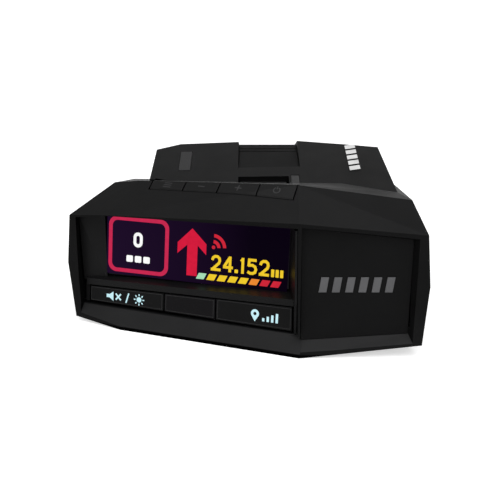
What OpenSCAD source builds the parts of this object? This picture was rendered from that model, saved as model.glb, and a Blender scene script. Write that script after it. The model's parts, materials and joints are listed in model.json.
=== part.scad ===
// Windscreen radar detector: faceted face with a display turned to the driver,
// front buttons, four brow keys and a two-humped body with a mount channel.
// +Z is up, the face looks along -Y and the road end is at +Y.

/* [Body] */
// Width across the face
face_w = 89; // [88:0.5:90]
// Length from the face to the road end
body_l = 116; // [114:1:118]
// Half width of the body behind the face
body_half = 34; // [33:0.5:34.5]
// Height of the hump crest
crest_h = 43.4; // [43:0.1:44]
// Wall thickness of the housings
wall = 1.8; // [1.5:0.1:2]

/* [Face] */
// Turn of the display side of the face toward the driver, degrees
face_turn = 21.7; // [21.5:0.1:22]
// Backward lean of the face, degrees
face_lean = 6.5; // [6:0.1:7]
// Length of the turned side of the face
turned_w = 48.1; // [48:0.1:48.2]
// Width of the display window
lens_w = 49.5; // [48:0.5:50]
// Height of the display window
lens_h = 16.6; // [16:0.1:16.8]

/* [Buttons] */
// Gap round each moving button and key
key_gap = 0.3; // [0.25:0.05:0.35]
// Travel of the front buttons
button_travel = 0.8; // [0.6:0.1:0.8]
// Height of the button row at its driver end
row_h_start = 4; // [3.9:0.1:4.1]
// Height of the button row at the crease
row_h_end = 5.9; // [5.8:0.1:6]

/* [Sockets] */
// Bore of the headphone socket
audio_d = 3.6; // [3.5:0.1:3.6]

/* [Hidden] */
$fn = 32;

left = -face_w / 2;
right = face_w / 2;
front = -body_l / 2;
road = body_l / 2;
body_x = 7.4;
split_z = 16.3;

// Face corners: the turned side ends at the crease, the badge side runs on to the right
crease = [14.2, front, 0];
turned_start = [
    crease.x - turned_w * cos(face_turn),
    crease.y + turned_w * sin(face_turn),
    0
];

face_low = [
    turned_start, crease, [right - 1.5, front + 0.4, 3.1], [left + 1.6, front + 24.4, 1.3]
];
face_wide = [[right, front + 2.1, 17], [left, front + 26, 15.6]];
brow_edge = [
    [left + 1, front + 26.5, 28.1], [-32.9, front + 21.2, 29.3],
    [14, front + 3.7, 31.7], [right - 0.7, front + 3.6, 29]
];
ridge_left = [-25.7, front + 28.9, 36.5];
ridge_right = [14.1, front + 12.3, 38.9];
ridge = [
    [-32.4, front + 32, 35.4], ridge_left, ridge_right, [41.6, front + 14.4, 34.8]
];
block_rear = [
    [-29.5, -10, 33], [-33, -4, 16], [-27, -6, 0.5], [40.8, -16, 33.6],
    [43.2, -34, 16.5], [40, -20, 0.8], [39, -37.9, 35.4], [15.5, -32.6, 36.5]
];
block_points = concat(face_low, face_wide, brow_edge, ridge, block_rear);

// One cross-section of the rear body: bottom, waist and shoulder points
function section(y, half, low, waist, top) = [
    for (side = [-1, 1])
        for (p = [[half - 3, low], [half, waist], [half - 2.5, top]])
            [body_x + side * p[0], y, p[1]]
];
rear_points = concat(
    section(-24, body_half, 0, 16, 34.8),
    section(46, body_half - 1, 0, 16, 29.4),
    section(road, body_half - 6, 4.5, 15, 25.5)
);

// The front of the humps is one sloping plane
hump_slope = 15.9;
function hump_at(x, y) = [x, y, crest_h + 0.0144 * (x - 15.4) + tan(hump_slope) * (y + 8.6)];
hump_base = [hump_at(-22.9, -29.5), hump_at(15.5, -34.7), hump_at(39, -37.9)];
hump_crest = [
    hump_at(-22.7, -12.8), hump_at(-16.4, -9.7), hump_at(-0.3, -8.8),
    hump_at(15.4, -8.6), hump_at(29.5, -11.4), hump_at(37.4, -13.2)
];
hump_rear = [[-19, 45, 29.7], [34, 45, 29.7], [-23.5, 43, 27], [38.5, 43, 27]];
hump_points = concat(
    hump_base, hump_crest, hump_rear, [for (p = hump_base) [p.x, p.y + 4, 31]]
);

// Channel for the windscreen bracket
channel_x0 = -0.4;
channel_w = 16.1;
channel_start = -23.7;
channel_start_z = 38.9;
channel_edge = -6;
channel_z = 41.9;
channel_end = 44;
channel_end_z = 28.4;
dock_t = 1.4;
pocket = [-0.3, -36.8, 33.4];
pocket_size = [12.9, 8, 12];

// Brow keys: where they begin and end along the ridge
key_stops = [4.1, 13.6, 23.0, 33.5, 43.0];
key_front = [-2.4, -3.3];
key_back = 1.8;
key_floor = 33.3;
key_proud = 0.12;

// Front button row: where the segments begin and end along the face
row_stops = [-10.9, 10.8, 25, 45.1];
row_depth = 3;
row_low = [5.8, 5.4];
row_t = 3;
row_limit_x = 12.7;

lens_origin = [-34.7, -31.6, 12.3];
lens_turn = -19.1;
lens_lean = -8;
lens_roll = -1.6;
board_z = 12;

// Corners of the badge panel, and of its slanted frame just in front of the face
badge_outline = [[0.4, 3.9], [25.8, 5.5], [26.6, 28.1], [0.4, 30.8]];
badge_frame = [[0.1, 0.3], [27, 2.65], [28.25, 28.5], [0.4, 31.1]];

house_color = [0.03, 0.03, 0.035];
trim_color = [0.05, 0.05, 0.055];
board_color = [0.05, 0.25, 0.12];
metal_color = [0.7, 0.7, 0.7];

// ---- shared shapes ----

module solid_of(points) {
    hull()
        polyhedron(points = points, faces = [[for (i = [0:len(points) - 1]) i]]);
}

// Points moved inward by t, towards a middle
function shrunk(points, t, middle) = [
    for (p = points)
        [for (i = [0:2]) p[i] - t * sign(p[i] - middle[i])]
];

module outer_form() {
    solid_of(block_points);
    solid_of(rear_points);
    solid_of(hump_points);
}

module inner_form() {
    solid_of(shrunk(block_points, wall, [body_x, -30, 16]));
    solid_of(shrunk(rear_points, wall, [body_x, 0, 16]));
    side_profile([[-27, 34.2], [-7, 40], [43, 27.3], [43, 18], [-27, 18]], -18.5, 34.5);
}

// Local frame of the turned face: x along it, y inward, z up the lean
module on_face() {
    translate(turned_start)
        rotate([0, 0, -face_turn])
            rotate([-face_lean, 0, 0])
                children();
}

// Local frame of the badge side of the face
module on_badge() {
    translate(crease)
        rotate([-face_lean, 0, 0])
            children();
}

// Local frame of the display window: its lower left corner
module on_lens() {
    translate(lens_origin)
        rotate([0, 0, lens_turn])
            rotate([lens_lean, lens_roll, 0])
                children();
}

// Local frame of the ridge seen from above: x along the ridge, y to the rear
ridge_turn = atan2(ridge_right.y - ridge_left.y, ridge_right.x - ridge_left.x);
module on_ridge() {
    translate([ridge_left.x, ridge_left.y, 0])
        rotate([0, 0, ridge_turn])
            children();
}

// Profile in the YZ plane, extruded from x0 to x1
module side_profile(points, x0, x1) {
    translate([x0, 0, 0])
        rotate([90, 0, 90])
            linear_extrude(x1 - x0)
                polygon(points);
}

// Profile in the local XZ plane, extruded from depth y0 to y1
module front_profile(points, y0, y1) {
    translate([0, y1, 0])
        rotate([90, 0, 0])
            linear_extrude(y1 - y0)
                polygon(points);
}

// Recess in front of the display and the button row
module display_recess() {
    solid_of([
        [-40.3, -29.2, 4.2], [-34.6, -27.4, 3.9], [12.9, -45.0, 3.6], [13.9, -57.2, 4.8],
        [-31, -42, 4.95], [-41.6, -36, 4.9],
        [-41.5, -28.4, 27.9], [-34.6, -26.4, 29.15], [12.9, -43.2, 30.6], [13.9, -58, 30.5],
        [-33.2, -42, 29.05], [-42, -35, 27.6]
    ]);
}

// Slanted cut that leaves the light catching lip under the buttons
module lip_cut() {
    on_face()
        side_profile([[-4, -4.8], [0, 1], [2.9, 5.2], [-4, 5.2]], -12.4, turned_w + 0.2);
}

module badge_recess() {
    on_badge()
        front_profile(badge_outline, -2, 3.5);
    on_badge()
        solid_of(concat(
            [for (p = badge_outline) [p[0], 2, p[1]]],
            [for (p = badge_frame) [p[0], -1, p[1]]]
        ));
}

module key_quad(from, to, gap, side_gap) {
    front_at = function (s) key_front[0] + (key_front[1] - key_front[0]) * (s - key_stops[0])
        / (key_stops[4] - key_stops[0]);
    polygon([
        [from + gap, front_at(from) + side_gap], [to - gap, front_at(to) + side_gap],
        [to - gap, key_back - side_gap], [from + gap, key_back - side_gap]
    ]);
}

module screw_places() {
    for (p = [[-20.5, -14], [35, -14], [-19, 42], [33.5, 42]])
        translate([p[0], p[1], 0])
            children();
}

// ---- casings ----

module upper_housing() color(house_color) {
    difference() {
        intersection() {
            outer_form();
            translate([-60, -70, split_z])
                cube([120, 140, 40]);
            union() {
                difference() {
                    translate([-60, -70, 0])
                        cube([120, 140, 60]);
                    inner_form();
                }
                upper_bosses();
            }
        }
        display_recess();
        badge_recess();
        channel_cut();
        translate(pocket)
            cube(pocket_size);
        translate([13.1, -37.1, 35.9])
            cube([2.2, 8.9, 6]);
        on_ridge()
            translate([0, 0, 30])
                linear_extrude(20)
                    key_quad(key_stops[0] - key_gap / 2, key_stops[4] + key_gap / 2, 0, 0);
        light_window_place()
            translate([-1.6, -5.5, -1.2])
                cube([3.2, 11, 3]);
        badge_place()
            translate([0, 0, -0.5])
                linear_extrude(2)
                    badge_bars(0.05);
        screw_places()
            translate([0, 0, 4])
                cylinder(d = 2.1, h = split_z + 6);
        road_window(0.15);
    }
}

// Solid parts inside the upper casing: slot cup, channel backing and screw posts
module upper_bosses() {
    translate([-3, -38.3, 32])
        cube([20.5, 11.5, 8]);
    side_profile([
        [channel_start - 2, 35.6], [channel_edge, 38.8], [45, 25.6], [45, 34],
        [channel_edge, 43], [channel_start - 2, 40]
    ], channel_x0 - 2, channel_x0 + channel_w + 2);
    screw_places()
        translate([0, 0, split_z])
            cylinder(r = 3, h = 14);
}

module channel_cut() {
    side_profile([
        [channel_start, channel_start_z - dock_t], [channel_edge, channel_z - dock_t],
        [channel_end, channel_end_z - dock_t],
        [channel_end, 50], [channel_start, 50]
    ], channel_x0, channel_x0 + channel_w);
}

module lower_housing() color(house_color) {
    difference() {
        intersection() {
            outer_form();
            translate([-60, -70, -1])
                cube([120, 140, split_z + 1]);
            union() {
                difference() {
                    translate([-60, -70, -1])
                        cube([120, 140, 60]);
                    inner_form();
                }
                front_sill();
                screw_places()
                    translate([0, 0, 0.4])
                        cylinder(r = 3.2, h = split_z - 0.6);
            }
        }
        display_recess();
        lip_cut();
        badge_recess();
        screw_places() {
            translate([0, 0, -1])
                cylinder(d = 2.6, h = split_z + 2);
            translate([0, 0, -1])
                cylinder(d = 5, h = 3.4);
        }
        translate([8, 16, -1])
            for (i = [-3:3])
                translate([-9 + abs(i) * 1.2, i * 3 - 0.7, 0])
                    cube([18 - abs(i) * 2.4, 1.4, 4]);
        side_socket(0, 9, 13, 11.6);
        translate([-32, 14, 9])
            rotate([0, 90, 0])
                cylinder(d = 7.2, h = 12);
        side_socket(24, 9, 9.8, 4);
        translate([-10, -16, -0.1])
            cube([34, 20, 0.5]);
        road_window(0.15);
    }
}

// Solid ledge under the button row and the badge panel
module front_sill() {
    on_face()
        translate([-18, -2, -2])
            cube([66, 13, 7.6]);
    on_badge()
        translate([-1, -2, -2])
            cube([32, 8, 9]);
}

// Rectangular hole through the left wall of the lower casing, w along Y and h along Z
module side_socket(y, z, w, h) {
    translate([-34, y - w / 2, z - h / 2])
        cube([14, w, h]);
}

// Opening in the road end that the tinted cover closes
module road_window(grow) {
    translate([body_x, road - 4.6 - grow, 15])
        rotate([-90, 0, 0])
            linear_extrude(10)
                square([42 + 2 * grow, 13 + 2 * grow], center = true);
}

module display_surround() color(trim_color) {
    difference() {
        union() {
            intersection() {
                union() {
                    // shelf under the display
                    on_face()
                        solid_of([
                            for (s = [row_stops[0] - 0.8, row_stops[3] + 0.1])
                                for (p = [[2.8, 0.3], [2.8, 1.9], [6.4, 2.6], [12, 3.1], [12, 0.3]])
                                    [s, p[0], row_top(s) + p[1]]
                        ]);
                    // left end and back of the button row
                    on_face()
                        translate([-12.2, 3.4, 5.6])
                            cube([1, 5, 4.6]);
                    on_face()
                        side_profile([[7.4, 4.9], [7.4, 11], [12, 11], [12, 4.9]], -11.6, 45.6);
                    // left cheek
                    solid_of([
                        [-40.7, -30.9, 10.6], [-34.4, -32.4, 10.6], [-35.5, -28.6, 10.6],
                        [-40.4, -29.3, 10.6], [-41.5, -29.6, 27.5], [-34.6, -30.1, 28.8],
                        [-35.5, -27.0, 28.9], [-41.3, -28.6, 27.6]
                    ]);
                }
                translate([-60, -70, 5.15])
                    cube([73, 60, 26]);
            }
            // right wall of the display window
            solid_of([
                [12.3, -48, 12.6], [13.1, -56, 12.6], [13.65, -56, 12.6], [12.95, -46.9, 12.6],
                [12.3, -46, 30], [13.1, -54.3, 30], [13.55, -54.3, 30], [12.95, -45, 30]
            ]);
            // right end of the button row
            translate([0, 0, 5.3])
                linear_extrude(7.5)
                    polygon([[13.05, -55.6], [13.6, -55.6], [13.05, -49]]);
        }
        on_lens()
            translate([-0.15, -0.1, -0.1])
                cube([lens_w + 0.3, 5.6, lens_h + 6]);
    }
}

// ---- face pieces ----

module badge_panel() color([0.02, 0.02, 0.022]) {
    difference() {
        on_badge()
            translate([0, 3.4, 0])
                rotate([90, 0, 0])
                    linear_extrude(1.4)
                        offset(delta = -0.1)
                            polygon(badge_outline);
        on_badge()
            translate([13.5, 2.3, 17.3])
                rotate([90, 0, 0])
                    linear_extrude(2)
                        emblem_shape(0.1);
    }
}

module emblem_shape(grow) {
    for (i = [0:5])
        translate([-7.75 + i * 3.1, 0])
            offset(delta = grow)
                polygon([[-1.2, -1.8], [0.6, -1.8], [1.2, 1.8], [-0.6, 1.8]]);
}

module panel_emblem() color([0.45, 0.45, 0.46])
    on_badge()
        translate([13.5, 2.3, 17.3])
            rotate([90, 0, 0])
                linear_extrude(0.4)
                    emblem_shape(0);

module display_lens() color([0.05, 0.02, 0.08])
    on_lens()
        cube([lens_w, 1.2, lens_h]);

module display_module() color([0.1, 0.1, 0.12])
    on_lens()
        translate([0.8, 1.3, 0.5])
            cube([lens_w - 1.6, 2.2, lens_h - 1]);

module display_frame() color(metal_color)
    on_lens()
        difference() {
            translate([0.3, 3.6, 0])
                cube([lens_w - 0.6, 1.4, lens_h]);
            for (i = [0:2])
                translate([4 + i * 15, 3, 4])
                    cube([11, 3, 9]);
        }

module display_flex() color([0.75, 0.45, 0.1])
    on_lens()
        translate([18, 5.1, 1.5])
            cube([12, 0.3, 10]);

// Bottom and top of the button row at a place along the face
function row_part(s) = (s - row_stops[0]) / (row_stops[3] - row_stops[0]);
function row_base(s) = row_low[0] + (row_low[1] - row_low[0]) * row_part(s);
function row_top(s) = row_base(s) + row_h_start + (row_h_end - row_h_start) * row_part(s);

// One segment of the front row, k counts from the driver side
module row_segment(k, gap, depth) {
    from = row_stops[k] + gap;
    to = row_stops[k + 1] - gap;
    intersection() {
        on_face()
            front_profile(
                [[from, row_base(from)], [to, row_base(to)], [to, row_top(to)], [from, row_top(from)]],
                row_depth, row_depth + depth
            );
        translate([-60, -70, 0])
            cube([60 + row_limit_x, 60, 20]);
    }
}

module mute_button() color(trim_color)
    row_segment(0, key_gap / 2, row_t);

module mark_button() color(trim_color)
    row_segment(2, key_gap / 2, row_t);

module rear_laser_window() color([0.03, 0.0, 0.01])
    row_segment(1, key_gap / 2, 1.6);

module rear_laser_sensor() color([0.1, 0.1, 0.1])
    on_face()
        translate([17.9, 4.8, 8.3])
            rotate([-90, 0, 0])
                cylinder(d = 4.6, h = 2.4);

module button_switches() color(metal_color)
    for (s = [0, 35])
        on_face()
            translate([s - 2, row_depth + row_t + button_travel + 0.1, 6])
                cube([4, 0.4, 4]);

// One key of the brow row, k counts from the driver side
module brow_key(k) {
    intersection() {
        on_ridge()
            translate([0, 0, key_floor])
                linear_extrude(12)
                    key_quad(key_stops[k], key_stops[k + 1], key_gap / 2, key_gap);
        translate([0, 0, key_proud])
            solid_of(block_points);
    }
}

module menu_key() color(trim_color) brow_key(0);
module minus_key() color(trim_color) brow_key(1);
module plus_key() color(trim_color) brow_key(2);
module power_key() color(trim_color) brow_key(3);

module key_switches() color(metal_color)
    for (k = [0:3])
        on_ridge()
            translate([(key_stops[k] + key_stops[k + 1]) / 2 - 1.5, -1.4, 31.85])
                cube([3, 2.4, 0.6]);

module key_board() color(board_color)
    on_ridge()
        translate([5, -2, 31])
            cube([37, 3.6, 0.8]);

// ---- electronics ----

module main_board() color(board_color)
    difference() {
        translate([-20, -22, board_z])
            cube([55, 72, 1.6]);
        translate([-21, -7, board_z - 1])
            cube([9, 14, 4]);
        screw_places()
            translate([0, 0, board_z - 1])
                cylinder(r = 3.6, h = 4);
        board_screw_places()
            cylinder(d = 1.8, h = 30);
    }

module board_screw_places() {
    for (p = [[-8, -19], [27, -19], [-8, 44], [27, 44]])
        translate([p[0], p[1], 0])
            children();
}

module rf_board() color(board_color)
    translate([-12, 14, 16])
        cube([36, 22, 1.2]);

// Flared waveguide: mouth toward +Y, throat toward -Y
module horn(mouth_w, mouth_h, throat_w, throat_h, length) {
    difference() {
        solid_of([
            for (x = [-1, 1])
                for (z = [-1, 1])
                    for (e = [0, 1])
                        [
                            x * (e == 1 ? mouth_w : throat_w) / 2, e * length,
                            z * (e == 1 ? mouth_h : throat_h) / 2
                        ]
        ]);
        solid_of([
            for (x = [-1, 1])
                for (z = [-1, 1])
                    for (e = [0, 1])
                        [
                            x * ((e == 1 ? mouth_w : throat_w) / 2 - 0.8), e * (length + 0.2) + 0.8,
                            z * ((e == 1 ? mouth_h : throat_h) / 2 - 0.8)
                        ]
        ]);
    }
}

module front_horn() color(metal_color)
    translate([12, 37, 19.4])
        horn(26, 10.4, 12, 6, 15);

module rear_horn() color(metal_color)
    translate([-6, 14, 21.6])
        rotate([0, 0, 180])
            horn(16, 7, 9, 5, 18);

module rf_shield() color(metal_color)
    translate([4, 15.5, 17.3])
        cube([18, 19, 4]);

module processor_shield() color(metal_color)
    translate([-2, -18, board_z + 1.7])
        cube([24, 20, 3]);

module laser_lens() color([0.3, 0.02, 0.04])
    translate([-12.5, 52.2, 15])
        rotate([-90, 0, 0])
            cylinder(d1 = 9, d2 = 7.5, h = 1);

module laser_sensor() color([0.12, 0.12, 0.12])
    translate([-15.5, 47.5, 13.7])
        cube([6, 4.4, 4.6]);

module road_end_cover() color([0.05, 0.0, 0.01])
    translate([body_x, road - 4.5, 15])
        rotate([-90, 0, 0])
            linear_extrude(4.1)
                square([42, 13], center = true);

module gps_antenna() color([0.75, 0.7, 0.6])
    translate([-17, -12, 34.2])
        cube([13, 13, 3.2]);

module speaker() color([0.1, 0.1, 0.1])
    translate([8, 16, 2.9]) {
        cylinder(d = 26, h = 1.6, $fn = 48);
        translate([0, 0, 1.6])
            cylinder(d = 14, h = 3.2, $fn = 48);
    }

module speaker_gasket() color([0.15, 0.15, 0.15])
    translate([8, 16, 1.9])
        difference() {
            cylinder(d = 26, h = 0.9, $fn = 48);
            translate([0, 0, -1])
                cylinder(d = 22, h = 3, $fn = 48);
        }

// ---- sockets on the driver side ----

module power_jack() color([0.08, 0.08, 0.08])
    difference() {
        translate([-24.6, -6.3, 3.5])
            cube([12.1, 12.6, 11]);
        translate([-26.5, -5, 5])
            cube([11, 10, 6.5]);
        translate([-26.5, -2, 11])
            cube([11, 4, 2.2]);
    }

module audio_jack() color([0.08, 0.08, 0.08])
    difference() {
        union() {
            translate([-25.4, 14, 9])
                rotate([0, 90, 0])
                    cylinder(d = 6.8, h = 4);
            translate([-21.9, 10, 5])
                cube([10, 8, 6.9]);
        }
        translate([-27, 14, 9])
            rotate([0, 90, 0])
                cylinder(d = audio_d, h = 14);
    }

module usb_port() color(metal_color)
    difference() {
        translate([-25, 19.6, 7.3])
            cube([6.6, 8.8, 3.4]);
        translate([-26, 20.1, 7.8])
            cube([6.6, 7.8, 2.4]);
    }

// ---- roof pieces ----

module light_window_place() {
    translate(hump_at(-14.4, -19.7))
        rotate([hump_slope, -0.8, 0])
            children();
}

module badge_place() {
    translate(hump_at(29.8, -19.4))
        rotate([hump_slope, -0.8, 0])
            children();
}

module badge_bars(grow) {
    for (i = [-2:2])
        translate([0, i * 3.1])
            offset(delta = grow)
                polygon([[-1.4, -1.5], [1.4, -0.7], [1.4, 1.5], [-1.4, 0.7]]);
}

module light_sensor_window() color([0.35, 0.36, 0.38])
    light_window_place()
        translate([-1.5, -5.4, -1.1])
            cube([3, 10.8, 1.15]);

module hump_badge() color([0.8, 0.8, 0.82])
    badge_place()
        translate([0, 0, -0.45])
            linear_extrude(0.8)
                badge_bars(0);

module mount_dock() color(trim_color)
    difference() {
        side_profile([
            [channel_start + 0.1, channel_start_z], [channel_start + 0.1, channel_start_z - dock_t + 0.1],
            [channel_edge, channel_z - dock_t + 0.1],
            [channel_end - 0.3, channel_end_z - dock_t + 0.2], [channel_end - 0.3, channel_end_z],
            [channel_edge, channel_z]
        ], channel_x0 + 0.1, channel_x0 + channel_w - 0.1);
        for (y = [-11.8, -9.6])
            translate([channel_x0, y, channel_start_z + 0.167 * (y - channel_start) - 0.3])
                cube([channel_w, 0.35, 2]);
    }

module contact_block() color([0.45, 0.46, 0.48])
    side_profile([
        [-37, 35.95], [-28.3, 35.95], [-28.3, 37.7], [-33, 36.65], [-37, 37.3]
    ], 13.2, 15.2);

module latch_spring() color(metal_color)
    translate([0.2, -29.6, 33.5])
        difference() {
            cube([11.8, 0.7, 2.6]);
            translate([3, -1, 0.7])
                cube([5.8, 3, 1.2]);
        }

// ---- fasteners and small pieces ----

module housing_screws() color(metal_color)
    screw_places()
        difference() {
            union() {
                translate([0, 0, 0.9])
                    cylinder(d = 4.6, h = 1.4);
                translate([0, 0, 2.3])
                    cylinder(d = 2, h = 18);
            }
            translate([-1.2, -0.3, 0])
                cube([2.4, 0.6, 1.5]);
            translate([-0.3, -1.2, 0])
                cube([0.6, 2.4, 1.5]);
        }

module board_screws() color(metal_color)
    board_screw_places()
        translate([0, 0, board_z + 1.6]) {
            cylinder(d = 3.2, h = 1);
            translate([0, 0, -3.4])
                cylinder(d = 1.7, h = 3.5);
        }

module label_plate() color([0.5, 0.5, 0.5])
    translate([-9.8, -15.8, 0.05])
        cube([33.6, 19.6, 0.3]);

module memory_cell() color(metal_color)
    translate([27, 8, board_z + 1.7])
        cylinder(d = 9, h = 2.2);

upper_housing();
lower_housing();
display_surround();
badge_panel();
panel_emblem();
display_lens();
display_module();
display_frame();
display_flex();
mute_button();
mark_button();
rear_laser_window();
rear_laser_sensor();
button_switches();
menu_key();
minus_key();
plus_key();
power_key();
key_switches();
key_board();
main_board();
rf_board();
front_horn();
rear_horn();
rf_shield();
processor_shield();
laser_lens();
laser_sensor();
road_end_cover();
gps_antenna();
speaker();
speaker_gasket();
power_jack();
audio_jack();
usb_port();
light_sensor_window();
hump_badge();
mount_dock();
contact_block();
latch_spring();
housing_screws();
board_screws();
label_plate();
memory_cell();
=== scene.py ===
import json
import math

import bmesh
import bpy
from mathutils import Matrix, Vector

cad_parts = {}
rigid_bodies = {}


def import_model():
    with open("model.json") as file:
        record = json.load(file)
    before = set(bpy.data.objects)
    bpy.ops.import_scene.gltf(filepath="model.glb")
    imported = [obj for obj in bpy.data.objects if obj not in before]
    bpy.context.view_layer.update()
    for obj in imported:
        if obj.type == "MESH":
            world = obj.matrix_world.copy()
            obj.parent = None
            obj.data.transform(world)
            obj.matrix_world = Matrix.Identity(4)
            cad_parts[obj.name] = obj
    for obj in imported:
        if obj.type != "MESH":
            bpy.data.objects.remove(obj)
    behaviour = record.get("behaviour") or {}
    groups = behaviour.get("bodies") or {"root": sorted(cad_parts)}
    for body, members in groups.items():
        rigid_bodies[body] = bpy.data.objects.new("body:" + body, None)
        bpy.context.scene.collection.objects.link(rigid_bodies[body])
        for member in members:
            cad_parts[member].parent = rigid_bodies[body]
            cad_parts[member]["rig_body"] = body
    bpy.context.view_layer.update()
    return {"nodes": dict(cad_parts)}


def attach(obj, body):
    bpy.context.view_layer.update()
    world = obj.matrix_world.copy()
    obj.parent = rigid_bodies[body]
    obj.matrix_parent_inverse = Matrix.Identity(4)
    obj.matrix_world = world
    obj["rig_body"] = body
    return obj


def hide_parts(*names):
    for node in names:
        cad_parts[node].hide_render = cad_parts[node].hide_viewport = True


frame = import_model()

MM = 0.001
NODES = frame["nodes"]
COLLECTION = bpy.context.scene.collection

# Rough directions in which the marked faces look
FRONT_ROW = (-0.36, -0.92, 0.1)
BROW_KEYS = (-0.26, -0.52, 0.82)

# Heights of the lower front rim: the painted highlight band fades over the first pair, the dark painted
# shadow along the bottom edge over the second
RIM_HIGHLIGHT_FADE = (12 * MM, 7 * MM)
BOTTOM_SHADOW_FADE = (0.7 * MM, 1.0 * MM)
# Tone left by the painted shadow at the very bottom edge, as a share of the plain tone
BOTTOM_SHADOW_TONE = 0.1

# Upper face of the circuit boards, in millimetres
BOARD_TOP = 13.62


# ---------------------------------------------------------------- materials

class Shader:
    """A node material built round one Principled shader."""

    def __init__(self, name, color, roughness, **settings):
        self.material = bpy.data.materials.new(name)
        self.material.use_nodes = True
        self.tree = self.material.node_tree
        self.bsdf = self.tree.nodes["Principled BSDF"]
        self.bsdf.inputs["Base Color"].default_value = (*color, 1)
        self.bsdf.inputs["Roughness"].default_value = roughness
        for key, value in settings.items():
            self.bsdf.inputs[key.replace("_", " ")].default_value = value
        self.place = self.tree.nodes.new("ShaderNodeTexCoord").outputs["Object"]
        self.height = None

    def noise(self, scale, detail=3.0, stretch=(1, 1, 1)):
        mapping = self.tree.nodes.new("ShaderNodeMapping")
        mapping.inputs["Scale"].default_value = stretch
        self.tree.links.new(self.place, mapping.inputs["Vector"])
        node = self.tree.nodes.new("ShaderNodeTexNoise")
        node.inputs["Scale"].default_value = scale
        node.inputs["Detail"].default_value = detail
        self.tree.links.new(mapping.outputs["Vector"], node.inputs["Vector"])
        return node.outputs["Fac"]

    def cells(self, scale, feature="F1"):
        node = self.tree.nodes.new("ShaderNodeTexVoronoi")
        node.feature = feature
        node.inputs["Scale"].default_value = scale
        self.tree.links.new(self.place, node.inputs["Vector"])
        return node.outputs["Distance"]

    def ramp(self, value, stops):
        node = self.tree.nodes.new("ShaderNodeValToRGB")
        elements = node.color_ramp.elements
        while len(elements) < len(stops):
            elements.new(0.5)
        for element, (place, color) in zip(elements, stops):
            element.position = place
            element.color = (*color, 1)
        self.tree.links.new(value, node.inputs["Fac"])
        return node.outputs["Color"]

    def color(self, value, stops):
        self.tree.links.new(self.ramp(value, stops), self.bsdf.inputs["Base Color"])
        return self

    def math(self, operation, *values):
        node = self.tree.nodes.new("ShaderNodeMath")
        node.operation = operation
        for socket, value in zip(node.inputs, values):
            if isinstance(value, (int, float)):
                socket.default_value = value
            else:
                self.tree.links.new(value, socket)
        return node.outputs["Value"]

    def span(self, value, low, high):
        """Value as 0 at low and 1 at high, clamped between them."""
        node = self.tree.nodes.new("ShaderNodeMapRange")
        node.inputs["From Min"].default_value = low
        node.inputs["From Max"].default_value = high
        self.tree.links.new(value, node.inputs["Value"])
        return node.outputs["Result"]

    def axis(self, vector, name):
        node = self.tree.nodes.new("ShaderNodeSeparateXYZ")
        self.tree.links.new(vector, node.inputs["Vector"])
        return node.outputs[name]

    def painted_shading(self, side, lip):
        """Painted light and shade: darker, duller upright faces, a painted highlight on the rim low down
        and a painted shadow along the bottom edge.
        """
        normal = self.tree.nodes.new("ShaderNodeNewGeometry").outputs["Normal"]
        # Upward faces keep their tone; upright faces get painted shade, as if lit from above
        up = self.span(self.axis(normal, "Z"), 0.05, 0.45)
        level = self.axis(self.place, "Z")
        # Painted highlight on the lower front rim, growing towards the bottom
        gain = self.math("MULTIPLY_ADD", self.span(level, *RIM_HIGHLIGHT_FADE), lip, 1 - side)
        factor = self.math("MULTIPLY_ADD", up, gain, side)
        # Painted shadow along the bottom edge
        edge = self.math("MULTIPLY_ADD", self.span(level, *BOTTOM_SHADOW_FADE), 1 - BOTTOM_SHADOW_TONE, BOTTOM_SHADOW_TONE)
        factor = self.math("MULTIPLY", factor, edge)
        # Reflections weakened by the same painted shade
        gloss = self.math("MULTIPLY", self.math("MULTIPLY_ADD", up, 1 - side, side), edge)
        shine = self.bsdf.inputs["Specular IOR Level"]
        self.tree.links.new(self.math("MULTIPLY", gloss, shine.default_value), shine)
        base = self.bsdf.inputs["Base Color"]
        scale = self.tree.nodes.new("ShaderNodeVectorMath")
        scale.operation = "SCALE"
        self.tree.links.new(base.links[0].from_socket, scale.inputs[0])
        self.tree.links.new(factor, scale.inputs["Scale"])
        self.tree.links.new(scale.outputs["Vector"], base)
        return self

    def roughness(self, value, low, high):
        node = self.tree.nodes.new("ShaderNodeMapRange")
        node.inputs["To Min"].default_value = low
        node.inputs["To Max"].default_value = high
        self.tree.links.new(value, node.inputs["Value"])
        self.tree.links.new(node.outputs["Result"], self.bsdf.inputs["Roughness"])
        return self

    def bump(self, value, depth, strength=1.0):
        node = self.tree.nodes.new("ShaderNodeBump")
        node.inputs["Distance"].default_value = depth
        node.inputs["Strength"].default_value = strength
        self.tree.links.new(value, node.inputs["Height"])
        if self.height is not None:
            self.tree.links.new(self.height, node.inputs["Normal"])
        self.height = node.outputs["Normal"]
        self.tree.links.new(self.height, self.bsdf.inputs["Normal"])
        return self


def grey(value):
    return (value, value, value * 1.04)


def moulded(name, tone, rough, grain=0.012, grain_scale=5200, painted_shading=None, **settings):
    """Moulded plastic: fine grain, slow colour drift, patchy roughness and, when asked, painted light and
    shade.
    """
    spread = 0.06
    s = Shader(name, grey(tone), rough, **settings)
    s.color(s.noise(90, 4), [(0.3, grey(tone * 0.88)), (0.7, grey(tone * 1.14))])
    # Painted light and shade: darker upright faces, a lighter low rim and a dark bottom edge
    if painted_shading:
        s.painted_shading(*painted_shading)
    s.roughness(s.noise(160, 5), rough - spread, rough + spread)
    s.bump(s.cells(grain_scale), grain * MM, 0.55)
    s.bump(s.noise(35, 2), 0.03 * MM, 0.12)
    return s.material


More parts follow.
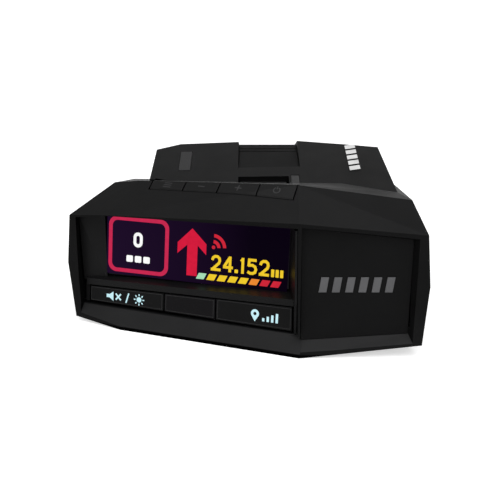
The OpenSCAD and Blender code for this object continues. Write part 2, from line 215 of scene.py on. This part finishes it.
def polished(name, color, rough, dust=0.05, **settings):
    """Polished tinted plastic with faint wipe marks."""
    s = Shader(name, color, rough, **settings)
    deep = tuple(c * 0.7 for c in color)
    s.color(s.noise(40, 2), [(0.3, deep), (0.75, color)])
    s.roughness(s.noise(220, 6, (1, 1, 0.25)), rough, rough + dust)
    s.bump(s.noise(60, 2), 0.01 * MM, 0.1)
    return s.material


def metal(name, tone, rough, stretch=(1, 1, 1), tint=(1, 1, 1)):
    color = tuple(tone * t for t in tint)
    s = Shader(name, color, rough, Metallic=1.0)
    dark = tuple(c * 0.75 for c in color)
    s.color(s.noise(300, 5, stretch), [(0.25, dark), (0.75, color)])
    s.roughness(s.noise(500, 5, stretch), max(rough - 0.08, 0.03), rough + 0.12)
    s.bump(s.noise(900, 4, stretch), 0.004 * MM, 0.5)
    return s.material


def glowing(name, color, strength, soft=0.12):
    """Lit legend or display element: a diffuser with slightly uneven light."""
    s = Shader(name, tuple(c * 0.04 for c in color), 0.35, Specular_IOR_Level=0.03)
    s.bsdf.inputs["Emission Strength"].default_value = strength
    dim = tuple(c * (1 - soft) for c in color)
    s.tree.links.new(
        s.ramp(s.noise(900, 3), [(0.3, dim), (0.7, color)]),
        s.bsdf.inputs["Emission Color"],
    )
    s.bump(s.noise(2500, 2), 0.003 * MM, 0.3)
    return s.material


def haze_material(name, left, right):
    """Backlight haze of a display that fades from one side to the other."""
    s = Shader(name, (0.001, 0.001, 0.001), 0.3, Specular_IOR_Level=0.0)
    s.bsdf.inputs["Emission Strength"].default_value = 1.0
    across = s.span(s.axis(s.place, "X"), -36 * MM, 13 * MM)
    middle = tuple((a + b) / 2 for a, b in zip(left, right))
    color = s.ramp(across, [(0.0, left), (0.55, middle), (0.8, right)])
    s.tree.links.new(color, s.bsdf.inputs["Emission Color"])
    s.bump(s.noise(2500, 2), 0.003 * MM, 0.3)
    return s.material


def board_material(name):
    s = Shader(name, (0.02, 0.12, 0.05), 0.35)
    s.color(s.cells(380), [(0.1, (0.05, 0.22, 0.09)), (0.35, (0.015, 0.1, 0.04))])
    s.roughness(s.noise(300), 0.25, 0.45)
    s.bump(s.cells(380), 0.03 * MM, 0.6)
    return s.material


def ceramic_material(name):
    s = Shader(name, (0.5, 0.44, 0.33), 0.6)
    s.color(s.noise(700, 6), [(0.35, (0.42, 0.36, 0.26)), (0.7, (0.56, 0.5, 0.39))])
    s.bump(s.noise(1500, 4), 0.01 * MM, 0.5)
    return s.material


def film_material(name, color):
    s = Shader(name, color, 0.4)
    s.color(s.noise(120, 3, (1, 6, 1)), [(0.3, tuple(c * 0.8 for c in color)), (0.7, color)])
    s.roughness(s.noise(600), 0.3, 0.5)
    s.bump(s.noise(1200, 3), 0.004 * MM, 0.4)
    return s.material


def foam_material(name):
    s = Shader(name, grey(0.03), 0.95)
    s.color(s.cells(2600), [(0.1, grey(0.015)), (0.5, grey(0.045))])
    s.bump(s.cells(2600), 0.08 * MM, 0.9)
    return s.material


M = {
    # Housing tone carries painted shade on upright faces, a painted highlight on the low front rim and a
    # painted shadow at the bottom edge
    "housing": moulded("housing_plastic", 0.0058, 0.54, painted_shading=(0.4, 1.3), Specular_IOR_Level=0.15),
    # Surround tone carries painted shade on upright faces and a painted shadow at the bottom edge
    "surround": moulded(
        "surround_plastic", 0.0085, 0.42, grain=0.004, painted_shading=(0.55, 0.0), Specular_IOR_Level=0.16
    ),
    "dock": moulded("dock_plastic", 0.0036, 0.6, Specular_IOR_Level=0.06),
    "badge_panel": moulded(
        "badge_plastic", 0.0032, 0.6, grain=0.006, grain_scale=9000, Specular_IOR_Level=0.08
    ),
    "emblem": moulded("emblem_print", 0.086, 0.5, grain=0.004, Specular_IOR_Level=0.2),
    "lens": polished("display_glass", (0.0030, 0.0014, 0.0060), 0.06, Specular_IOR_Level=0.06),
    "ir": polished("ir_window", (0.0028, 0.0022, 0.0032), 0.2, Specular_IOR_Level=0.08),
    "road_window": polished("road_window_plastic", (0.012, 0.003, 0.005), 0.08),
    "button": moulded(
        "button_plastic", 0.0032, 0.4, grain=0.004, grain_scale=8000, Specular_IOR_Level=0.08
    ),
    "key": moulded("key_plastic", 0.0050, 0.44, grain=0.006, grain_scale=7000, Specular_IOR_Level=0.2),
    "sensor": moulded(
        "sensor_window_plastic", 0.022, 0.42, grain=0.008, grain_scale=4200, Specular_IOR_Level=0.3
    ),
    "chrome": metal("badge_chrome_metal", 0.82, 0.12),
    "contact": moulded("contact_plastic", 0.016, 0.42, grain=0.006, Specular_IOR_Level=0.3),
    "screw": metal("screw_black_zinc", 0.22, 0.32),
    "tin": metal("tinned_metal", 0.62, 0.3, (1, 8, 1)),
    "horn": metal("cast_horn_metal", 0.6, 0.42),
    "gold": metal("contact_gold", 0.85, 0.22, tint=(1, 0.72, 0.3)),
    "board": board_material("circuit_board_mask"),
    "part": moulded("moulded_part_black", 0.012, 0.45),
    "foam": foam_material("gasket_foam_cells"),
    "flex": film_material("flex_polyimide", (0.5, 0.24, 0.05)),
    "ceramic": ceramic_material("ceramic_patch"),
    "label": film_material("label_blank_film", (0.30, 0.30, 0.31)),
    "label_line": film_material("label_line_ink", (0.03, 0.03, 0.03)),
    "mesh": metal("speaker_mesh_metal", 0.08, 0.5),
    "icon_print": moulded("icon_print_grey", 0.035, 0.5, grain=0.002, Specular_IOR_Level=0.2),
    "edge_print": moulded("edge_line_grey", 0.012, 0.45, grain=0.002, Specular_IOR_Level=0.2),
    "glow_button": glowing("button_legend_glow", (0.62, 0.93, 1.0), 0.95),
    "glow_white": glowing("display_white_glow", (1.0, 1.0, 1.0), 1.0),
    "glow_box": glowing("display_box_glow", (0.578, 0.021, 0.080), 1.0),
    "glow_arrow": glowing("display_arrow_glow", (0.66, 0.010, 0.045), 1.0),
    "glow_yellow": glowing("display_yellow_glow", (0.89, 0.60, 0.024), 1.0),
    "glow_mint": glowing("display_mint_glow", (0.38, 0.72, 0.47), 1.0),
    "glow_orange": glowing("display_orange_glow", (0.86, 0.25, 0.03), 1.0),
    "glow_red": glowing("display_red_glow", (0.62, 0.018, 0.04), 1.0),
    "glow_violet": haze_material(
        "display_violet_haze", (0.0125, 0.0040, 0.0215), (0.0024, 0.0005, 0.0048)
    ),
}


# ---------------------------------------------------------------- mesh helpers

def add_object(name, mesh, material, body="casing"):
    obj = bpy.data.objects.new(name, mesh)
    COLLECTION.objects.link(obj)
    obj.data.materials.clear()
    obj.data.materials.append(M[material])
    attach(obj, body)
    return obj


def mesh_of(name, points, faces):
    mesh = bpy.data.meshes.new(name)
    mesh.from_pydata([tuple(p) for p in points], [], faces)
    mesh.validate()
    return mesh


def finish_mesh(bm, name):
    bmesh.ops.recalc_face_normals(bm, faces=bm.faces)
    mesh = bpy.data.meshes.new(name)
    bm.to_mesh(mesh)
    bm.free()
    return mesh


def bevelled(obj, width, segments=3, angle=16):
    """Rounded moulded edges with shading that stays flat on the faces."""
    modifier = obj.modifiers.new("edge_round", "BEVEL")
    modifier.width = width
    modifier.segments = segments
    modifier.limit_method = "ANGLE"
    modifier.angle_limit = math.radians(angle)
    modifier.harden_normals = True
    modifier.use_clamp_overlap = True
    modifier.miter_outer = "MITER_ARC"
    for polygon in obj.data.polygons:
        polygon.use_smooth = True
    obj.data.set_sharp_from_angle(angle=math.radians(2))
    return obj


def skin_of(node, name, material, width, body=None, segments=3):
    """A clean copy of a CAD node with its moulded edges rounded; it stands for the node."""
    bm = bmesh.new()
    bm.from_mesh(NODES[node].data)
    bmesh.ops.remove_doubles(bm, verts=bm.verts, dist=0.004 * MM)
    bmesh.ops.dissolve_limit(
        bm, angle_limit=math.radians(0.6), verts=bm.verts, edges=bm.edges
    )
    mesh = finish_mesh(bm, name)
    obj = add_object(name, mesh, material, body or NODES[node]["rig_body"])
    bevelled(obj, width, segments)
    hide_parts(node)
    return obj


def paint(node, material, round_edges=0.0):
    obj = NODES[node]
    obj.data.materials.clear()
    obj.data.materials.append(M[material])
    for polygon in obj.data.polygons:
        polygon.material_index = 0
    if round_edges:
        bevelled(obj, round_edges, 2, 30)


class Face:
    """The flat face of a CAD node that looks most nearly along a direction.

    Its own axes are right, up and out, with the origin at its lower left corner.
    """

    def __init__(self, node, direction, up_hint=(0, 0, 1)):
        mesh = NODES[node].data
        groups = {}
        for polygon in mesh.polygons:
            normal = polygon.normal
            key = tuple(round(c, 2) for c in normal)
            total, members, weighted = groups.get(key, (0, [], Vector()))
            groups[key] = (
                total + polygon.area,
                members + list(polygon.vertices),
                weighted + normal * polygon.area,
            )
        aim = Vector(direction).normalized()
        ranked = [g for g in groups.values() if g[2].normalized().dot(aim) > 0.8]
        members, weighted = max(ranked, key=lambda g: g[0])[1:]
        self.out = weighted.normalized()
        hint = Vector(up_hint)
        self.up = (hint - self.out * hint.dot(self.out)).normalized()
        self.right = self.up.cross(self.out).normalized()
        points = [mesh.vertices[i].co for i in members]
        anchor = points[0]
        across = [(p - anchor).dot(self.right) for p in points]
        along = [(p - anchor).dot(self.up) for p in points]
        self.origin = anchor + self.right * min(across) + self.up * min(along)
        self.width = max(across) - min(across)
        self.height = max(along) - min(along)

    def at(self, x, y, z=0.0):
        """A point given in millimetres along right, up and out."""
        return self.origin + (self.right * x + self.up * y + self.out * z) * MM


def plate(bm, face, outline, low, high, hole=None):
    """Adds an extruded outline, in millimetres on a face, between two heights."""
    loops = [outline] + ([hole] if hole else [])
    rings = []
    for loop in loops:
        bottom = [bm.verts.new(face.at(x, y, low)) for x, y in loop]
        top = [bm.verts.new(face.at(x, y, high)) for x, y in loop]
        rings.append((bottom, top))
        for i in range(len(loop)):
            j = (i + 1) % len(loop)
            bm.faces.new((bottom[i], bottom[j], top[j], top[i]))
    if not hole:
        bm.faces.new(rings[0][1])
        bm.faces.new(rings[0][0][::-1])
        return
    (bottom_out, top_out), (bottom_in, top_in) = rings
    count = len(outline)
    for i in range(count):
        j = (i + 1) % count
        bm.faces.new((top_out[i], top_out[j], top_in[j], top_in[i]))
        bm.faces.new((bottom_out[i], bottom_in[i], bottom_in[j], bottom_out[j]))


def rounded_rect(x0, y0, x1, y1, radius, steps=6, slant=0.0):
    """Outline of a rectangle with round corners; slant shears it to the right."""
    points = []
    corners = [
        (x1 - radius, y0 + radius, -90), (x1 - radius, y1 - radius, 0),
        (x0 + radius, y1 - radius, 90), (x0 + radius, y0 + radius, 180),
    ]
    for cx, cy, start in corners:
        for k in range(steps + 1):
            a = math.radians(start + 90 * k / steps)
            points.append((cx + radius * math.cos(a), cy + radius * math.sin(a)))
    return [(x + slant * (y - y0), y) for x, y in points]


def arc(cx, cy, radius, start, end, steps=16):
    return [
        (
            cx + radius * math.cos(math.radians(start + (end - start) * k / steps)),
            cy + radius * math.sin(math.radians(start + (end - start) * k / steps)),
        )
        for k in range(steps + 1)
    ]


def ring_band(cx, cy, radius, width, start, end, steps=20):
    """Outline of a band that follows an arc."""
    outer = arc(cx, cy, radius + width / 2, start, end, steps)
    inner = arc(cx, cy, radius - width / 2, end, start, steps)
    return outer + inner


def stroke(x0, y0, x1, y1, width):
    """Outline of a straight stroke."""
    dx, dy = x1 - x0, y1 - y0
    length = math.hypot(dx, dy)
    nx, ny = -dy / length * width / 2, dx / length * width / 2
    return [(x0 + nx, y0 + ny), (x0 - nx, y0 - ny), (x1 - nx, y1 - ny), (x1 + nx, y1 + ny)]


def ribbon(path, width):
    """Outline of an even line drawn along a path."""
    sides = []
    for i, (x, y) in enumerate(path):
        before = path[max(i - 1, 0)]
        after = path[min(i + 1, len(path) - 1)]
        ways = []
        for (ax, ay), (bx, by) in ((before, (x, y)), ((x, y), after)):
            length = math.hypot(bx - ax, by - ay)
            if length:
                ways.append(((by - ay) / -length, (bx - ax) / length))
        nx = sum(w[0] for w in ways) / len(ways)
        ny = sum(w[1] for w in ways) / len(ways)
        spread = width / 2 / max(nx * nx + ny * ny, 0.35)
        sides.append(((x + nx * spread, y + ny * spread), (x - nx * spread, y - ny * spread)))
    return [b for a, b in sides] + [a for a, b in reversed(sides)]


def decal(name, face, outlines, material, height=0.03, body="casing", holes=None):
    """Thin raised marks on a face. Outlines with a hole pair up with holes[index]."""
    bm = bmesh.new()
    holes = holes or {}
    for i, outline in enumerate(outlines):
        plate(bm, face, outline, 0.004, height, holes.get(i))
    return add_object(name, finish_mesh(bm, name), material, body)


# ---------------------------------------------------------------- camera and studio

def add_camera():
    """On the object's own axis, in front of it and looking down a little."""
    data = bpy.data.cameras.new("camera")
    data.lens = 60
    data.sensor_width = 36
    data.clip_start = 0.01
    data.dof.use_dof = False
    camera = bpy.data.objects.new("camera", data)
    looks_down = 16.7
    camera.location = Vector((2.7, -238.2, 80.7)) * MM
    camera.rotation_euler = (math.radians(90 - looks_down), 0, 0)
    COLLECTION.objects.link(camera)
    bpy.context.scene.camera = camera


def area_light(name, place, target, size, power):
    data = bpy.data.lights.new(name, "AREA")
    data.shape = "RECTANGLE"
    data.size, data.size_y = size
    data.energy = power
    light = bpy.data.objects.new(name, data)
    light.location = place
    aim = Vector(target) - Vector(place)
    light.rotation_euler = aim.to_track_quat("-Z", "Y").to_euler()
    COLLECTION.objects.link(light)


def add_studio():
    """Pale sweep and broad soft lights."""
    half_width, depth, rise, radius = 3.0, 1.6, 0.7, 0.45
    profile = [(-depth, 0.0), (depth - radius, 0.0)]
    profile += [
        (depth - radius + radius * math.sin(a), radius - radius * math.cos(a))
        for a in [math.radians(9 * k) for k in range(1, 11)]
    ]
    profile.append((depth, rise))
    points = [(x, y, z) for y, z in profile for x in (-half_width, half_width)]
    faces = [(2 * i, 2 * i + 1, 2 * i + 3, 2 * i + 2) for i in range(len(profile) - 1)]
    sweep = bpy.data.objects.new("studio_sweep", mesh_of("studio_sweep", points, faces))
    for polygon in sweep.data.polygons:
        polygon.use_smooth = True
    COLLECTION.objects.link(sweep)
    s = Shader("studio_paper", (0.93, 0.93, 0.93), 0.9, Specular_IOR_Level=0.1)
    s.bsdf.inputs["Emission Color"].default_value = (1, 1, 1, 1)
    s.bsdf.inputs["Emission Strength"].default_value = 0.58
    s.color(s.noise(3, 2), [(0.3, (0.92, 0.92, 0.92)), (0.7, (0.94, 0.94, 0.94))])
    sweep.data.materials.append(s.material)
    target = (0, 0, 0.02)
    area_light("top_soft", (0.0, -0.38, 0.88), target, (1.1, 0.75), 4.9)
    area_light("lip_strip", (0.05, -0.75, 0.62), target, (1.0, 0.25), 1.2)
    area_light("badge_kicker", (0.16, 0.86, 0.84), (0.03, -0.02, 0.04), (0.3, 0.3), 0.2)
    area_light("front_soft", (0.1, -0.95, 0.5), target, (0.8, 0.4), 0.5)
    area_light("right_soft", (0.8, -0.5, 0.5), target, (0.6, 0.6), 0.2)
    area_light("back_wash", (0.0, 1.0, 0.9), (0, 1.6, 0.3), (1.6, 0.6), 3.5)
    world = bpy.data.worlds.new("studio_world")
    world.use_nodes = True
    background = world.node_tree.nodes["Background"]
    background.inputs["Color"].default_value = (1, 1, 1, 1)
    background.inputs["Strength"].default_value = 0.34
    bpy.context.scene.world = world
    bpy.context.scene.view_settings.view_transform = "Standard"


# ---------------------------------------------------------------- casing

def make_casing():
    skin_of("upper_housing", "upper_casing_skin", "housing", 0.35 * MM)
    skin_of("lower_housing", "lower_casing_skin", "housing", 0.3 * MM)
    skin_of("display_surround", "display_surround_skin", "surround", 0.2 * MM)
    skin_of("mount_dock", "mount_dock_skin", "dock", 0.12 * MM)


def make_badge_panel():
    paint("badge_panel", "badge_panel", 0.15 * MM)
    paint("panel_emblem", "emblem", 0.05 * MM)


# ---------------------------------------------------------------- display

# Centre lines of generic round-cornered display digits in a unit box
DIGITS = {
    "1": [[(0.0, 0.82), (0.62, 1)], [(0.62, 1.1), (0.62, -0.1)]],
    "2": [
        [
            (0.0, 0.7), (0.12, 0.9), (0.35, 1), (0.68, 1),
            (0.92, 0.88), (0.98, 0.7), (0.88, 0.5), (0.1, 0.04),
        ],
        [(-0.15, 0), (1.12, 0)],
    ],
    "4": [[(0.76, 1.1), (0.76, -0.1)], [(0.7, 1), (0.02, 0.3)], [(-0.12, 0.26), (1.15, 0.26)]],
    "5": [
        [(1.05, 1), (-0.02, 1)], [(0.14, 1.05), (0.08, 0.52)],
        [
            (0.0, 0.58), (0.55, 0.62), (0.88, 0.52), (1, 0.32),
            (0.9, 0.1), (0.6, 0), (0.3, 0), (-0.05, 0.1),
        ],
    ],
}


def digit_outlines(digit, x, y, width, height, weight):
    left, low = x + weight / 2, y + weight / 2
    across, along = width - weight, height - weight
    return [
        ribbon([(left + u * across, low + v * along) for u, v in path], weight)
        for path in DIGITS[digit]
    ]


def make_display():
    face = Face("display_lens", (0, -1, 0.1))
    paint("display_lens", "lens", 0.25 * MM)
    haze = [rounded_rect(0.4, 0.3, face.width / MM - 0.4, face.height / MM - 0.3, 0.4)]
    decal("display_haze", face, haze, "glow_violet", 0.012)
    box_outer = rounded_rect(0.9, 0.95, 17.9, 15.4, 2.3, 10)
    box_inner = rounded_rect(1.95, 1.95, 16.85, 14.4, 1.5, 10)
    decal("display_box", face, [box_outer], "glow_box", holes={0: box_inner})
    zero_outer = rounded_rect(8.0, 7.75, 10.6, 11.6, 1.25, 8)
    zero_inner = rounded_rect(8.8, 8.6, 9.8, 10.75, 0.48, 8)
    decal(
        "display_zero", face, [zero_outer], "glow_white", holes={0: zero_inner}
    )
    unit = [rounded_rect(6.1 + 2.4 * k, 3.8, 7.95 + 2.4 * k, 5.5, 0.35) for k in range(3)]
    decal("display_unit_marks", face, unit, "glow_white")
    arrow = [
        (24.25, 14.0), (20.35, 10.2), (20.35, 7.4), (23.0, 9.8), (23.0, 2.0),
        (25.8, 2.0), (25.8, 9.8), (28.15, 7.6), (28.15, 10.3),
    ]
    decal("display_arrow", face, [arrow], "glow_arrow")
    waves = [ring_band(29.9, 9.6, radius, 0.85, 4, 86) for radius in (1.6, 3.1)]
    waves.append(rounded_rect(29.6, 9.3, 30.5, 10.2, 0.4))
    decal("display_wave_mark", face, waves, "glow_red")
    number = []
    x, foot = 29.5, 3.9
    for digit in "24.152":
        if digit == ".":
            number.append(rounded_rect(x, foot, x + 0.9, foot + 0.9, 0.2))
            x += 1.3
            continue
        wide = 1.4 if digit == "1" else 2.75
        number += digit_outlines(digit, x, foot, wide, 4.0, 0.7)
        x += wide + 0.42
    number += [
        rounded_rect(x + 1.15 * k, foot, x + 1.15 * k + 0.8, foot + 1.9, 0.15) for k in range(3)
    ]
    decal("display_number", face, number, "glow_yellow")
    colors = ["mint"] + ["yellow"] * 4 + ["orange"] + ["red"] * 2
    for color in ("mint", "yellow", "orange", "red"):
        bars = [
            rounded_rect(25.6 + 2.8 * k, 1.4, 27.7 + 2.8 * k, 2.95, 0.12, 4, 0.5)
            for k, c in enumerate(colors) if c == color
        ]
        decal("display_bars_" + color, face, bars, "glow_" + color)


# ---------------------------------------------------------------- buttons and keys

def make_front_buttons():
    for node in ("mute_button", "mark_button"):
        skin_of(node, node + "_cap", "button", 0.25 * MM)
    skin_of("rear_laser_window", "laser_window_pane", "ir", 0.2 * MM)
    face = Face("mute_button", FRONT_ROW)
    cx, cy = face.width / MM * 0.52, face.height / MM * 0.44
    speaker = [
        [(cx - 6.2, cy - 0.45), (cx - 5.3, cy - 0.45), (cx - 4.2, cy - 1.25),
         (cx - 4.2, cy + 1.25), (cx - 5.3, cy + 0.45), (cx - 6.2, cy + 0.45)],
        stroke(cx - 3.5, cy - 0.8, cx - 2.0, cy + 0.8, 0.42),
        stroke(cx - 3.5, cy + 0.8, cx - 2.0, cy - 0.8, 0.42),
        stroke(cx - 0.5, cy - 1.3, cx + 0.3, cy + 1.3, 0.36),
    ]
    rays = [
        stroke(
            cx + 3.3 + 1.0 * math.cos(a), cy + 1.0 * math.sin(a),
            cx + 3.3 + 1.5 * math.cos(a), cy + 1.5 * math.sin(a), 0.3,
        )
        for a in [math.radians(45 * k) for k in range(8)]
    ]
    sun = [arc(cx + 3.3, cy, 0.7, 0, 345, 15)]
    decal(
        "mute_legend", face, speaker + sun + rays, "glow_button", 0.02, "mute_button"
    )
    face = Face("mark_button", FRONT_ROW)
    cx, cy = face.width / MM * 0.52, face.height / MM * 0.45
    pin = [arc(cx, cy + 0.45, 1.05, -40, 220, 20) + [(cx, cy - 1.5)]]
    bars = [
        stroke(cx + 2.2 + 1.15 * k, cy - 1.2, cx + 2.2 + 1.15 * k, cy - 0.4 + 0.5 * k, 0.6)
        for k in range(4)
    ]
    decal("mark_legend", face, pin + bars, "glow_button", 0.02, "mark_button")
    dot = [arc(cx, cy + 0.45, 0.42, 0, 345, 15)]
    decal("mark_legend_dot", face, dot, "button", 0.03, "mark_button")


def key_icon(kind, cx, cy):
    if kind == "menu_key":
        return [stroke(cx - 1.1, cy + d, cx + 1.1, cy + d, 0.26) for d in (-0.65, 0, 0.65)]
    if kind == "minus_key":
        return [stroke(cx - 0.9, cy, cx + 0.9, cy, 0.3)]
    if kind == "plus_key":
        return [
            stroke(cx - 0.9, cy, cx + 0.9, cy, 0.3),
            stroke(cx, cy + 0.15, cx, cy + 0.9, 0.3),
            stroke(cx, cy - 0.15, cx, cy - 0.9, 0.3),
        ]
    return [ring_band(cx, cy, 0.8, 0.26, 120, 420), stroke(cx, cy + 0.3, cx, cy + 1.15, 0.26)]


def make_keys():
    for node in ("menu_key", "minus_key", "plus_key", "power_key"):
        face = Face(node, BROW_KEYS)
        skin_of(node, node + "_cap", "key", 0.18 * MM)
        icon = key_icon(node, face.width / MM * 0.5, face.height / MM * 0.48)
        decal(node + "_icon", face, icon, "icon_print", 0.015, node)


# ---------------------------------------------------------------- small parts

def make_roof_pieces():
    paint("light_sensor_window", "sensor", 0.1 * MM)
    paint("hump_badge", "chrome", 0.12 * MM)
    paint("contact_block", "contact", 0.15 * MM)
    paint("latch_spring", "tin", 0.08 * MM)


def make_inner_parts():
    for node in ("display_frame", "rf_shield", "processor_shield", "usb_port", "memory_cell"):
        paint(node, "tin", 0.1 * MM)
    for node in ("key_switches", "button_switches"):
        paint(node, "tin")
    for node in ("front_horn", "rear_horn"):
        paint(node, "horn", 0.1 * MM)
    for node in ("main_board", "rf_board", "key_board"):
        paint(node, "board")
    for node in (
        "display_module", "rear_laser_sensor", "laser_sensor", "speaker", "power_jack", "audio_jack",
    ):
        paint(node, "part", 0.12 * MM)
    paint("speaker_gasket", "foam")
    paint("display_flex", "flex")
    paint("gps_antenna", "ceramic", 0.2 * MM)
    paint("label_plate", "label")
    paint("housing_screws", "screw", 0.08 * MM)
    paint("board_screws", "screw")
    paint("laser_lens", "road_window")
    paint("road_end_cover", "road_window", 0.3 * MM)


# ---------------------------------------------------------------- fine details

def block(bm, low, high):
    """Adds a box between two corners in millimetres."""
    made = bmesh.ops.create_cube(bm, size=1.0)["verts"]
    for vert in made:
        vert.co = Vector([
            (a + b) / 2 + c * (b - a) for a, b, c in zip(low, high, vert.co)
        ]) * MM


def blocks(name, corners, material):
    bm = bmesh.new()
    for low, high in corners:
        block(bm, low, high)
    return add_object(name, finish_mesh(bm, name), material)


def make_button_frames():
    """Fine moulded line round each segment of the front row."""
    for node, body, slot in (
        ("mute_button", "mute_button", "button_plastic"),
        ("rear_laser_window", "casing", "ir_window"),
        ("mark_button", "mark_button", "button_plastic"),
    ):
        face = Face(node, FRONT_ROW)
        w, h = face.width / MM, face.height / MM
        rise = 0.46 if node == "mute_button" else 0.3
        outline = [(0.35, 0.4), (w - 0.35, 0.4), (w - 0.35, h - 0.4), (0.35, h - 0.4 - rise)]
        inner = [(0.5, 0.55), (w - 0.5, 0.55), (w - 0.5, h - 0.55), (0.5, h - 0.55 - rise)]
        decal(node + "_frame_line", face, [outline], "edge_print", 0.02, body, {0: inner})


def make_sockets():
    pins = [((-24.2, 0.75 * k - 2.05, 5.02), (-15.7, 0.75 * k - 1.7, 5.3)) for k in range(6)]
    blocks("power_socket_contacts", pins, "gold")
    blocks("usb_socket_tongue", [((-24.4, 21.6, 8.75), (-19.0, 26.4, 9.25))], "part")
    pads = [((-24.2, 22.0 + 0.9 * k, 9.25), (-19.4, 22.45 + 0.9 * k, 9.32)) for k in range(5)]
    blocks("usb_socket_contacts", pads, "gold")
    face = Face("audio_jack", (-1, 0, 0))
    cx, cy = face.width / MM / 2, face.height / MM / 2
    ring = arc(cx, cy, 2.5, 0, 352.5, 47)
    decal(
        "headphone_socket_ring", face, [ring], "tin", 0.06,
        holes={0: arc(cx, cy, 1.95, 0, 352.5, 47)},
    )


def make_notch_web():
    """Thin web behind the wall and the roof of the relief notch beside the power socket."""
    left, right, top = -31.3, -27.5, 15.3
    behind_wall, above_roof = -6.55, 14.85
    corners = [
        ((left, -7.1, 10.9), (right, behind_wall, top)),
        ((left, behind_wall, above_roof), (right, -5.95, top)),
    ]
    blocks("socket_notch_web", corners, "housing")


def make_underside():
    bm = bmesh.new()
    bmesh.ops.create_circle(bm, cap_ends=True, segments=48, radius=10.9 * MM)
    bmesh.ops.translate(bm, verts=bm.verts, vec=Vector((8, 16, 1.85)) * MM)
    add_object("speaker_mesh", finish_mesh(bm, "speaker_mesh"), "mesh")
    face = Face("label_plate", (0, 0, -1), (0, 1, 0))
    w, h = face.width / MM, face.height / MM
    border = rounded_rect(0.7, 0.7, w - 0.7, h - 0.7, 0.8)
    inside = rounded_rect(0.95, 0.95, w - 0.95, h - 0.95, 0.6)
    decal("label_border", face, [border], "label_line", 0.02, holes={0: inside})
    bars = [
        rounded_rect(2.2, 3.0 + 2.4 * k, w * (0.86 - 0.11 * (k % 3)), 3.5 + 2.4 * k, 0.2)
        for k in range(5)
    ]
    decal("label_blank_bars", face, bars, "label_line", 0.02)


def make_board_parts():
    """Chips and capacitors on the boards inside."""
    chips = [
        ((24, -14, BOARD_TOP), (31, -7, 14.7)), ((25, 20, BOARD_TOP), (30, 28, 14.6)),
        ((-9, -10, BOARD_TOP), (-4, -5, 14.5)), ((-6, 4, BOARD_TOP), (2, 9, 14.6)),
        ((6, 42, BOARD_TOP), (16, 46, 14.9)),
    ]
    blocks("board_chips", chips, "part")
    caps = [((-16 + 2.2 * k, 38, BOARD_TOP), (-15 + 2.2 * k, 39.6, 14.3)) for k in range(8)]
    blocks("board_capacitors", caps, "ceramic")


add_camera()
add_studio()
make_casing()
make_badge_panel()
make_display()
make_front_buttons()
make_keys()
make_roof_pieces()
make_inner_parts()
make_button_frames()
make_sockets()
make_notch_web()
make_underside()
make_board_parts()
